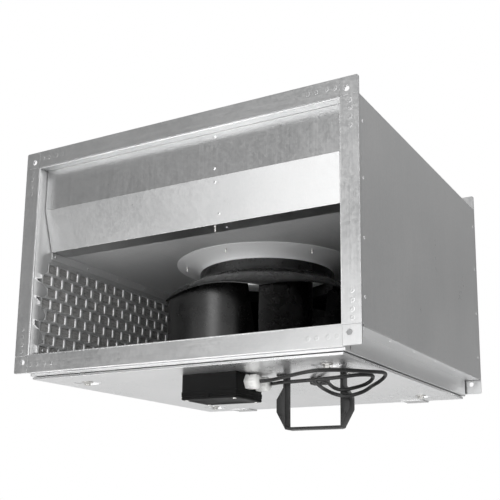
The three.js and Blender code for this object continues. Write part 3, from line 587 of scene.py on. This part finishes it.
def perforated(side, sign):
    """Plain lattice cells, and round each hole a flat rib and an edge pressed into the wool."""
    steps_y, steps_z = holes_in_row * 4 + 2, rows_of_holes * 4
    y = first_hole + pitch_y / 4 * np.arange(steps_y + 1)
    z = first_row + pitch_z / 4 * np.arange(steps_z + 1)
    y, z = (np.r_[ends[0], line, ends[1]] for ends, line in ((lining_y, y), (lining_z, z)))
    lattice = np.stack(np.meshgrid(y, z, indexing="ij"), axis=-1).reshape(-1, 2)
    row = np.array([r for r in range(rows_of_holes) if r != plain_row])[:, None]
    column = np.arange(holes_in_row)[None, :]
    in_sight = np.where(row > plain_row, column >= hidden_columns,
                        column < holes_in_row - hidden_columns)
    start_y = (1 + 2 * (row % 2) + 4 * column)[in_sight]
    start_z = (1 + 4 * row + 0 * column)[in_sight]
    side_steps = np.arange(4)
    ends = np.full(4, 4)
    edge = np.vstack([np.c_[side_steps, 0 * ends], np.c_[ends, side_steps], np.c_[4 - side_steps, ends],
                      np.c_[0 * ends, 4 - side_steps]])
    outer = (start_y[:, None] + edge[:, 0]) * len(z) + start_z[:, None] + edge[:, 1]
    unit = edge / 2.0 - 1.0
    corner = 1 - corner_cut * (np.abs(unit).prod(axis=1, keepdims=True)) ** 4
    centre = lattice[outer].mean(axis=1, keepdims=True)
    half = (np.array([pitch_y, pitch_z]) - rib) / 2
    flat = centre + unit * corner * half
    pressed = centre + unit * corner * (half - pressed_edge)
    covered = np.zeros((len(y) - 1, len(z) - 1), bool)
    covered[start_y[:, None, None] + side_steps[:, None], start_z[:, None, None] + side_steps] = True
    plain = grid_faces(len(y), len(z))[~covered.ravel()][:, ::-1]
    n, m = len(lattice), flat.reshape(-1, 2).shape[0]
    middle = n + np.arange(m).reshape(-1, 16)
    rings = [np.stack([a, np.roll(a, -1, axis=1), np.roll(b, -1, axis=1), b], axis=-1).reshape(-1, 4)
             for a, b in ((outer, middle), (middle, middle + m))]
    flat_points = np.vstack([lattice, flat.reshape(-1, 2), pressed.reshape(-1, 2)])
    x = np.concatenate([np.full(n + m, lining_face), np.full(m, lining_face + pressed_depth)])
    points = np.c_[sign * x, flat_points]
    faces = np.vstack([plain, *rings])
    faces = faces if sign < 0 else faces[:, ::-1]
    made = make_piece("lining_" + side + "_perforated", points, faces, lining_zinc, "casing",
                      ["side_liner_" + side], closed=False, angle=20)
    if made.data.polygons[0].normal.x * sign > 0:
        made.data.flip_normals()
    wall = made.modifiers.new("wall", "SOLIDIFY")
    wall.thickness, wall.offset = lining_wall * MM, -1
    print(made.name, "has", len(start_y), "holes")


perforated("left", -1)
perforated("right", 1)

# %% [markdown]
# ## The terminal box
# The box and its lid are moulded with rounded corners and a slight rim, and the lid has a groove
# round it. Each is a rounded rectangle carried through a list of levels. At each level it draws in
# by some amount, and the first and last close to a point. A hollow part's list goes up the outside
# and comes down the inside.

# %% Rounded moulded parts
def levels_grid(x, y, corner, levels, per_corner=8):
    """Rounded rectangle at each level: centre, plus a corner centre, plus the corner's arc."""
    middle = np.array([sum(x) / 2, sum(y) / 2])
    half = np.array([x[1] - x[0], y[1] - y[0]]) / 2
    arc = np.linspace(0, np.pi / 2, per_corner)
    angle = (np.arange(4)[:, None] * np.pi / 2 + arc[None, :]).ravel()
    sign = np.repeat(np.array([(1, 1), (-1, 1), (-1, -1), (1, -1)]), per_corner, axis=0)
    around = np.stack([np.cos(angle), np.sin(angle)], axis=-1)
    inset, height = np.asarray(levels, float).T
    radius = np.maximum(corner - inset, 0.25)[:, None, None]
    centres = sign * np.maximum(half - inset[:, None, None] - radius, 0)
    ring = middle + centres + radius * around
    pole = np.broadcast_to(middle, ring[:1].shape)
    ring = np.concatenate([pole, ring, pole])
    height = np.concatenate([height[:1], height, height[-1:]])
    return np.concatenate([ring, np.broadcast_to(height[:, None, None], ring[..., :1].shape)], axis=-1)


def moulded_box(name, x, y, corner, levels, finish, body, stands_for=(), round_by=0.6):
    """Levels are (inset, height) pairs, and their own corners are rounded too."""
    grid = levels_grid(x, y, corner, soften(levels, round_by))
    return make_piece(name, grid, grid_faces(grid.shape[0], grid.shape[1], False, True), finish,
                      body, stands_for)


# %% Terminal box, lid, terminal strip and grommet
box_x, box_y, box_top, box_foot = (-26.0, 80.0), (78.0, 163.0), -215.8, -249.8
moulded_box("terminal_box_moulded", box_x, box_y, 3.0,
            [(0, box_top), (0, box_foot + 5.4), (-1, box_foot + 5), (-1, box_foot), (2.5, box_foot),
             (2.5, box_top - 2.5)], box_black, "door", ["terminal_box"])
moulded_box("terminal_lid_moulded", box_x, box_y, 3.0,
            [(2.5, -252.5), (2.5, -250.1), (-0.9, -250.1), (-0.9, -252.4), (0.1, -252.8),
             (0.1, -253.9), (-0.6, -254.3), (-0.6, -256.6), (0.8, -257.8), (9, -257.8), (9.6, -257.4)],
            box_black, "door", ["terminal_lid"], 0.4)
moulded_box("terminal_strip", (-5, 45), (106, 134), 1.0,
            [(0, -218.7), (0, -226), (4, -226), (4, -230.5)], terminal_grey, "door",
            ["terminal_block"])
moulded_box("cable_grommet_moulded", (140, 172), (216, 240), 6.0,
            [(0, -215.9), (0, -219.0), (1.2, -219.8), (1.2, -222.0), (2.4, -223.8), (10, -223.8)],
            rubber_black, "door", ["cable_grommet"])
lid_face, screw_inset = -257.8, 7
lid_screws = [(x, y, lid_face, "-z") for x in (box_x[0] + screw_inset, box_x[1] - screw_inset)
              for y in (box_y[0] + screw_inset, box_y[1] - screw_inset)]
screw_head = [(0, 0.0), (1.4, 0.0), (1.5, 1.3), (2.9, 1.5), (3.4, 0.8), (3.4, -0.4), (0, -0.4)]
stamps("lid_screws", soften(screw_head, 0.3), lid_screws, bolt_steel, "door", sides=20)
moulded_box("lid_latch", (24, 29), (76.4, 78.6), 0.6, [(0, -249.2), (0, -256.2)], box_black,
            "door", round_by=0.3)


# %% [markdown]
# ## Glands and plug
# A cable gland is a hexagon, a ribbed nut and a dome with a round mouth for the cable. All of it
# is turned, and where a weight says so the radius is multiplied by a ripple that changes with the
# angle, which makes the hexagon and the ribs.

# %% Glands, plug and bolts
def ribbed(name, profile, weights, flats, place, axis, finish, body, stands_for=(),
           sides=96, ribs=0.035):
    """Radius times 1 - weight * (1 - hexagon) or, for a negative weight, times a fine ripple."""
    weights = np.asarray(weights, float)[:, None]
    angle = np.linspace(0, 2 * np.pi, sides, endpoint=False)
    within = np.mod(angle, np.pi / 3) - np.pi / 6
    hexagon = np.cos(np.pi / 6) / np.cos(within)
    fine = 1 - ribs * (0.5 - 0.5 * np.cos(flats * angle))
    shape = np.where(weights > 0, 1 - weights * (1 - hexagon), np.where(weights < 0, fine, 1.0))
    points = turned_grid(profile, sides, axis, shape) + np.array(place)
    return make_piece(name, points, grid_faces(len(profile), sides, wrap_columns=True), finish, body,
                      stands_for, angle=28)


gland_line = [(0, -7.4), (8, -7.4), (8, 0.3), (12.3, 0.3), (13.2, 1.1), (13.2, 6.6), (12.3, 7.4),
              (11.2, 7.6), (11.2, 8.8), (12.2, 9.2), (12.6, 10.2), (12.6, 16.5), (12.1, 18.6),
              (10.6, 21.4), (8.4, 23.6), (6.0, 24.8), (4.6, 25.0), (3.9, 24.4), (3.4, 22.0), (0, 22.0)]
gland_weights = [0, 0, 0, 1, 1, 1, 1, 0, 0, 0, -1, -1, -1, 0, 0, 0, 0, 0, 0, 0]
gland_height = -229.5
for which, y in (("front", 112.0), ("rear", 147.0)):
    ribbed("gland_" + which + "_moulded", gland_line, gland_weights, 16,
           (box_x[1], y, gland_height), "x", gland_white, "door",
           ["cable_gland_" + which], ribs=0.07)
plug_line = [(0, -7.4), (8, -7.4), (8, 0.3), (10.0, 0.3), (10.5, 0.9), (10.5, 5.0), (9.8, 6.2),
             (8.6, 7.0), (5.2, 7.0), (4.8, 6.2), (0, 6.2)]
ribbed("blanking_plug_moulded", plug_line, [0, 0, 0, -1, -1, -1, 0, 0, 0, 0, 0], 20,
       (box_x[0], 120.0, gland_height), "-x", gland_white, "door", ["blanking_plug"])
bolt_line = [(0, 5.4), (0.9, 5.4), (1.1, 7.0), (4.3, 7.0), (5.8, 6.0), (5.8, 1.0), (5.2, 0.3),
             (3, 0.3), (3, -24), (0, -24)]
washer_line = [(3.2, -1.4), (3.2, 0.0), (9.4, 0.0), (9.8, -0.4), (9.8, -1.0), (9.4, -1.4)]
low, high = zip(*(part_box("door_bolt_" + str(k)) for k in (1, 2, 3, 4)))
bolt_places = [((a.x + b.x) / 2 / MM, (a.y + b.y) / 2 / MM) for a, b in zip(low, high)]
for k, (x, y) in enumerate(bolt_places, 1):
    ribbed("door_bolt_head_" + str(k), bolt_line, [0, 0, 0, 1, 1, 1, 1, 0, 0, 0], 1,
           (x, y, -213.8), "-z", bolt_steel, "door", ["door_bolt_" + str(k)], sides=48)
    turn("bolt_washer_" + str(k), washer_line, (x, y, -213.7), bolt_steel, "door", 48)
print("bolts at", [(round(x), round(y)) for x, y in bolt_places])

# %% [markdown]
# ## The pull handle
# The handle is a folded and painted loop of strip. Its outline, seen from the front, is drawn once
# as a closed line and carried backwards by its depth. A bevel rounds the cut edges, where real paint
# thins out and light collects.

# %% Pull handle
handle_middle = 184.5
strip_outer = np.array([(52.8, -215.9), (52.8, -238.5), (65.0, -257.5), (65.0, -278.0),
                        (48.8, -306.5), (44.8, -307.5)])
strip_inner = np.array([(48.8, -215.9), (48.8, -238.5), (48.8, -257.5), (48.8, -278.0),
                        (48.8, -303.0), (44.8, -303.0)])
handle_front, handle_back, cut_edge, foot_face = 140.0, 160.0, 0.9, -218.8


def folded_strip(outer, inner):
    """At each station a rectangle from the outer to the inner line, with its corners rounded."""
    mirror = np.array([-1.0, 1.0])
    outer, inner = (np.vstack([side, side[::-1] * mirror]) for side in (outer, inner))
    width = np.linalg.norm(inner - outer, axis=1, keepdims=True)
    t = np.linspace(0, np.pi / 2, 4)
    near, rise = cut_edge * (1 - np.cos(t)), cut_edge * (1 - np.sin(t))
    across = np.hstack([near + 0 * width, width - near[::-1], width - near, near[::-1] + 0 * width])
    back = np.concatenate([handle_front + rise, handle_front + rise[::-1], handle_back - rise,
                           handle_back - rise[::-1]])
    share = (across / width)[..., None]
    flat = outer[:, None] * (1 - share) + inner[:, None] * share
    depth = np.broadcast_to(back[None, :, None], flat[..., :1].shape)
    return np.concatenate([flat[..., :1] + handle_middle, depth, flat[..., 1:]], axis=-1)


strip = folded_strip(strip_outer, strip_inner)
strip_rows, strip_columns = strip.shape[:2]
corner_numbers = np.arange(strip_rows * strip_columns).reshape(strip_rows, strip_columns)
strip_faces = grid_faces(strip_rows, strip_columns, False, True).tolist()
strip_faces += corner_numbers[[0, -1]].tolist()
make_piece("pull_handle_folded", strip, strip_faces, handle_paint, "door",
           ["pull_handle"])
for which, sign in (("left", -1), ("right", 1)):
    foot_x = sorted((handle_middle + sign * 51.5, handle_middle + sign * 65.8))
    moulded_box("handle_foot_" + which, foot_x, (140.2, 159.8), 2.0, [(0, -215.9), (0, foot_face)],
                handle_paint, "door", round_by=0.8)
button_head = [(0, 0.9), (1.2, 0.9), (1.3, 2.2), (2.6, 2.1), (4.0, 1.2), (4.4, 0.3), (4.4, -1), (0, -1)]
stamps("handle_screws", soften(button_head, 0.3),
       [(handle_middle + s * 59.5, y, foot_face, "-z") for s in (-1, 1) for y in (145.0, 155.0)],
       bolt_steel, "door", sides=20)
stamps("handle_rivets", soften([(0, 1.2), (1.8, 1.0), (2.6, 0), (2.6, -0.5), (0, -0.5)], 0.4),
       [(handle_middle + s * 57.0, 140.2, z, "-y") for s in (-1, 1) for z in (-250.0, -285.0)],
       handle_paint, "door")

# %% [markdown]
# ## Rivets, screws and press marks
# Sheet metal is held by many small repeated parts, and they give the object its scale. Each kind is
# one small profile turned at a list of places, joined into one mesh with few faces per copy.
# Where the corner pieces are pressed into the flange bars, each press leaves a shallow round mark.

# %% Rivets and marks
rivet_line = [(0, 1.3), (1.2, 1.15), (2.2, 0.7), (2.7, 0.15), (2.7, -0.5), (0, -0.5)]
mark_line = [(0, 0.10), (2.2, 0.13), (3.0, 0.20), (3.7, 0.04), (3.9, -0.3), (0, -0.3)]
tip_line = [(0, 10.0), (0.5, 9.6), (1.5, 6.0), (1.6, 0.6), (3.0, 0.5), (3.1, 0), (3.1, -0.4), (0, -0.4)]
deck_flange_y = (54.0, 146.0, 236.5, 328.0, 418.0, 509.0)
casing_rivets = [(s * 297.2, y, 17.7, "-x" if s > 0 else "x") for s in (-1, 1) for y in deck_flange_y]
plate_rivets = [(20.0, 166.4), (20.0, 111.0), (22.7, 88.0), (37.4, 39.0)]
casing_rivets += [(67.0, y, z, "-y") for y, z in plate_rivets]
casing_rivets += [(-67.0, 606.0 - y, -z, "y") for y, z in plate_rivets[:3]]
casing_rivets += [(s * 321.0, y, -178.3, "-z") for s in (-1, 1) for y in (25, 132, 239, 347, 460, 575)]
casing_rivets += [(s * 330.0, y, z, "x" if s > 0 else "-x") for s in (-1, 1) for y in (15.0, 591.0)
                  for z in (135.0, 45.5, -46.0, -134.6)]
casing_rivets += [(66.0, 65.0, 23.5, "-z"), (-298.7, 36.0, -160.0, "x"), (298.7, 36.0, -160.0, "-x")]
stamps("casing_rivets", soften(rivet_line, 0.3), casing_rivets, small_zinc, "casing")
screw_circle = 155
tips = [(screw_circle * np.cos(a), fan_axis[1] + screw_circle * np.sin(a), 25.0, "-z")
        for a in np.radians(range(30, 390, 60))]
tips += [(50.0, 53.0, 23.5, "-z")]
stamps("deck_screw_tips", tip_line, tips, bolt_steel, "casing", sides=12)
press = []
for face_y, axis in ((0.0, "-y"), (606.0, "y")):
    for sx in (-1, 1):
        for sz in (-1, 1):
            press += [(sx * (300 - d), face_y, sz * 191.0, axis) for d in (8.0, 22.0, 40.0, 54.0)]
            press += [(sx * 316.0, face_y, sz * (175 - d), axis) for d in (9.0, 21.0, 35.0, 49.0)]
stamps("press_marks", mark_line, press, flange_zinc, "casing")
print("rivets:", len(casing_rivets), "press marks:", len(press))


# %% [markdown]
# ## Rolled beads
# The inner edge of each flange bar is rolled over into a bead, which draws a bright line round the
# opening. A bead is a small circle carried along a straight line, with its ends closed.

# %% Beads round the openings
def bead(start, end, radius=1.3, sides=16):
    """A round bar with domed ends: the radius follows a half circle over the first and last part."""
    start, end = np.array(start, float), np.array(end, float)
    along = end - start
    length = np.linalg.norm(along)
    axis = "xyz"[int(np.argmax(np.abs(along)))]
    t = np.linspace(0, np.pi / 2, 5)
    dome = np.c_[radius * np.sin(t), radius - radius * np.cos(t)]
    far = np.c_[radius * np.cos(t), length - radius + radius * np.sin(t)]
    return turned_grid(np.vstack([dome, far]), sides, axis) + start


edge_x, edge_z, beads = 299.2, 173.9, []
for y in (1.6, 604.4):
    beads += [bead((-edge_x, y, s * edge_z), (edge_x, y, s * edge_z)) for s in (-1, 1)]
    beads += [bead((s * edge_x, y, -edge_z), (s * edge_x, y, edge_z)) for s in (-1, 1)]
make_piece("opening_beads", beads, copied_faces(beads), flange_zinc, "casing")

# %% [markdown]
# ## Finishes for the flat sheets
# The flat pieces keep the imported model's own meshes, and only get a finish. Which way the rolling
# grain runs depends on how each piece was cut from the coil: along the bars, up the sides, and
# across the deck.

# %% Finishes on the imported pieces
finishes = {  # part of a node's name, and its finish
    "bar_top": flange_zinc, "bar_bottom": flange_zinc, "bar_left": upright_zinc,
    "bar_right": upright_zinc, "corner": upright_zinc, "top_panel": skin_zinc, "skin": skin_zinc,
    "deck": deck_zinc, "baffle": baffle_zinc, "service_frame": tray_zinc, "door_panel": door_zinc,
    "door_gasket": rubber_black, "wool": wool.material, "hinge": hinge_steel,
    "motor_plate": small_zinc, "motor_stator": cast_aluminium, "rotor_can": cast_aluminium,
    "motor_shaft": bolt_steel, "bearing": bolt_steel}
for name, node in nodes.items():
    finish = next((look for part, look in finishes.items() if part in name), None)
    if finish is not None:
        node.data.materials.clear()
        node.data.materials.append(finish)
    elif not node.hide_render:
        print("no finish for", name)

# %% [markdown]
# ## Floor, room and lights
# Bare metal shows the room it stands in, so the light is mostly a matter of what surrounds the
# fan. The room is a sky made of numbers: pale below, dark just above eye height and pale again at
# the ceiling, with broad soft glows in front, behind and on the right. The camera itself sees plain
# white. Six soft panels, which the camera can't see, add the shading. The floor is pale, and is
# clear from its under side, so a camera below it still sees the fan.

# %% Floor
floor_mesh = bpy.data.meshes.new("floor")
floor_radius, floor_height, floor_sides = 60.0, -1.0, 180
floor_turn = np.linspace(0, 2 * np.pi, floor_sides, endpoint=False)
floor_rim = np.c_[np.cos(floor_turn), np.sin(floor_turn)] * floor_radius
floor_mesh.from_pydata(np.c_[floor_rim, np.full(floor_sides, floor_height)].tolist(), [],
                       [list(range(floor_sides))])
floor = bpy.data.objects.new("floor", floor_mesh)
bpy.context.scene.collection.objects.link(floor)
floor_finish = Finish("floor_finish", grey(0.86), 0.8)
floor_finish.colour(floor_finish.noise(1.5), grey(0.85), grey(0.88))
under_side = floor_finish.node("NewGeometry").outputs["Backfacing"]
clear = floor_finish.node("BsdfTransparent").outputs["BSDF"]
either = floor_finish.node("MixShader", {0: under_side, 1: floor_finish.shader.outputs["BSDF"],
                                         2: clear}).outputs["Shader"]
floor_finish.tree.links.new(either, floor_finish.tree.nodes["Material Output"].inputs["Surface"])
floor_mesh.materials.append(floor_finish.material)
print("floor at", floor_height, "m, radius", floor_radius, "m")

# %% Room
world = bpy.data.worlds.new("studio")
bpy.context.scene.world = world
world.use_nodes = True
room = world.node_tree


def room_math(operation, *values):
    """A Math node of the room, with its inputs in order."""
    return add_node(room, "Math", dict(enumerate(values)), operation=operation).outputs["Value"]


def direction(azimuth, elevation):
    """Azimuth is measured from the front (-Y) towards the left (-X); both are in degrees."""
    a, e = np.radians(azimuth), np.radians(elevation)
    return (-np.sin(a) * np.cos(e), -np.cos(a) * np.cos(e), np.sin(e))


looking = add_node(room, "TexCoord").outputs["Generated"]
height = add_node(room, "SeparateXYZ", {"Vector": looking}).outputs["Z"]
share = add_node(room, "MapRange", {"Value": height, "From Min": -1.0, "From Max": 1.0})
ramp = add_node(room, "ValToRGB", {"Fac": share.outputs["Result"]})
sky = [(0.0, 0.85), (0.46, 0.70), (0.50, 0.25), (0.62, 0.18), (0.78, 0.42), (1.0, 0.90)]
while len(ramp.color_ramp.elements) < len(sky):
    ramp.color_ramp.elements.new(0.5)
for element, (position, value) in zip(ramp.color_ramp.elements, sky):
    element.position, element.color = position, grey(value)
glow = ramp.outputs["Color"]
# each glow: where it is, how narrow it is, and how strong
lobes = [((6, -6), 10.0, 0.25), ((168, 6), 5.0, 0.25), ((-105, 10), 4.0, 0.08)]
for place, sharpness, strength in lobes:
    facing = add_node(room, "VectorMath", {0: looking, 1: direction(*place)},
                      operation="DOT_PRODUCT").outputs["Value"]
    lobe = room_math("POWER", room_math("MAXIMUM", facing, 0.0), sharpness)
    glow = room_math("MULTIPLY_ADD", lobe, strength, glow)
camera_white = 4.0  # more than enough to reach white, where the next line stops it
seen = add_node(room, "LightPath").outputs["Is Camera Ray"]
glow = room_math("MINIMUM", room_math("MULTIPLY_ADD", seen, camera_white, glow), 1.0)
room.links.new(glow, room.nodes["Background"].inputs["Color"])
print("sky steps:", len(sky), "glows:", len(lobes))


# %% Soft panels
panel_target = Vector((0.0, 0.3, -0.05))


def panel(name, azimuth, elevation, distance, size, power):
    """An area light in a direction from the fan, turned to face it."""
    light = bpy.data.lights.new(name, "AREA")
    light.shape, light.size, light.size_y, light.energy = "RECTANGLE", size[0], size[1], power
    lamp = bpy.data.objects.new(name, light)
    lamp.location = panel_target + Vector(direction(azimuth, elevation)) * distance
    lamp.rotation_euler = (panel_target - lamp.location).to_track_quat("-Z", "Y").to_euler()
    lamp.visible_camera = False
    bpy.context.scene.collection.objects.link(lamp)


panels = {  # azimuth, elevation, distance in m, size in m, power in W
    "ceiling_panel": (145, 58, 3.4, (2.4, 2.4), 46),
    "front_panel": (9, -4, 2.4, (1.2, 1.0), 6),
    "strip_panel": (-14, 11, 2.4, (0.7, 1.2), 12),
    "high_panel": (-34, 48, 2.4, (1.3, 1.3), 15),
    "low_panel": (33, -40, 1.4, (0.9, 0.7), 13),
    "side_panel": (-40, -6, 2.4, (1.2, 1.2), 8)}
for name, values in panels.items():
    panel(name, *values)
print("panels:", len(panels))
bpy.context.scene.view_settings.view_transform = "Standard"
